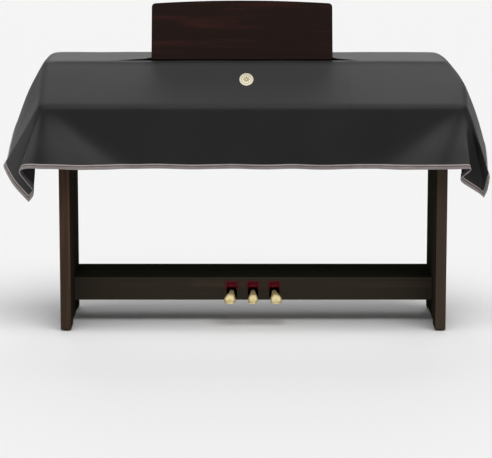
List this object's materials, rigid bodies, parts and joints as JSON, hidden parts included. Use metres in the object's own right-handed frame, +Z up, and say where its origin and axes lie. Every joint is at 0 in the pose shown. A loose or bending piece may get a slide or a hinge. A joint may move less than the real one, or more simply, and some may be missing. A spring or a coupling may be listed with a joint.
{
  "type": "keyboard dust cover on a digital piano",
  "caption": "Grey cloth dust cover draped over a console digital piano, with a slit for the upright music rest and folded corners; the pedals hinge",
  "frame": {"origin": "on the floor, under the middle of the whole object's box", "axes": "+X towards the treble end (the viewer's right), -Y towards the player, +Z up"},
  "size_m": [1.5559, 0.5253, 1.0442],
  "materials": {
    "cover_cloth": "matt charcoal woven cloth with a paler stitched hem",
    "badge_thread": "pale gold thread",
    "dark_wood": "dark stained, satin",
    "pedal_brass": "polished",
    "glide_rubber": "matt"
  },
  "bodies": {
    "piano": {"dust_cover": "cover_cloth", "badge": "badge_thread", "case": "dark_wood", "side_panel_left": "dark_wood", "side_panel_right": "dark_wood", "pedal_box": "dark_wood", "music_rest": "dark_wood", "rest_rail": "dark_wood", "glide_left_front": "glide_rubber", "glide_left_back": "glide_rubber", "glide_right_front": "glide_rubber", "glide_right_back": "glide_rubber"},
    "pedal_left": {"pedal_left": "pedal_brass"},
    "pedal_middle": {"pedal_middle": "pedal_brass"},
    "pedal_right": {"pedal_right": "pedal_brass"}
  },
  "joints": [
    {"name": "pedal_left_hinge", "type": "hinge", "parent": "piano", "child": "pedal_left", "pos_m": [-0.0478, 0.0364, 0.0985], "axis": [1, 0, 0], "range_deg": [0, 6], "stiffness_Nm_per_rad": 15, "springref_deg": -3.04},
    {"name": "pedal_middle_hinge", "type": "hinge", "parent": "piano", "child": "pedal_middle", "pos_m": [0.0222, 0.0364, 0.0985], "axis": [1, 0, 0], "range_deg": [0, 6], "stiffness_Nm_per_rad": 15, "springref_deg": -3.04},
    {"name": "pedal_right_hinge", "type": "hinge", "parent": "piano", "child": "pedal_right", "pos_m": [0.0922, 0.0364, 0.0985], "axis": [1, 0, 0], "range_deg": [0, 6], "stiffness_Nm_per_rad": 15, "springref_deg": -3.04}
  ]
}
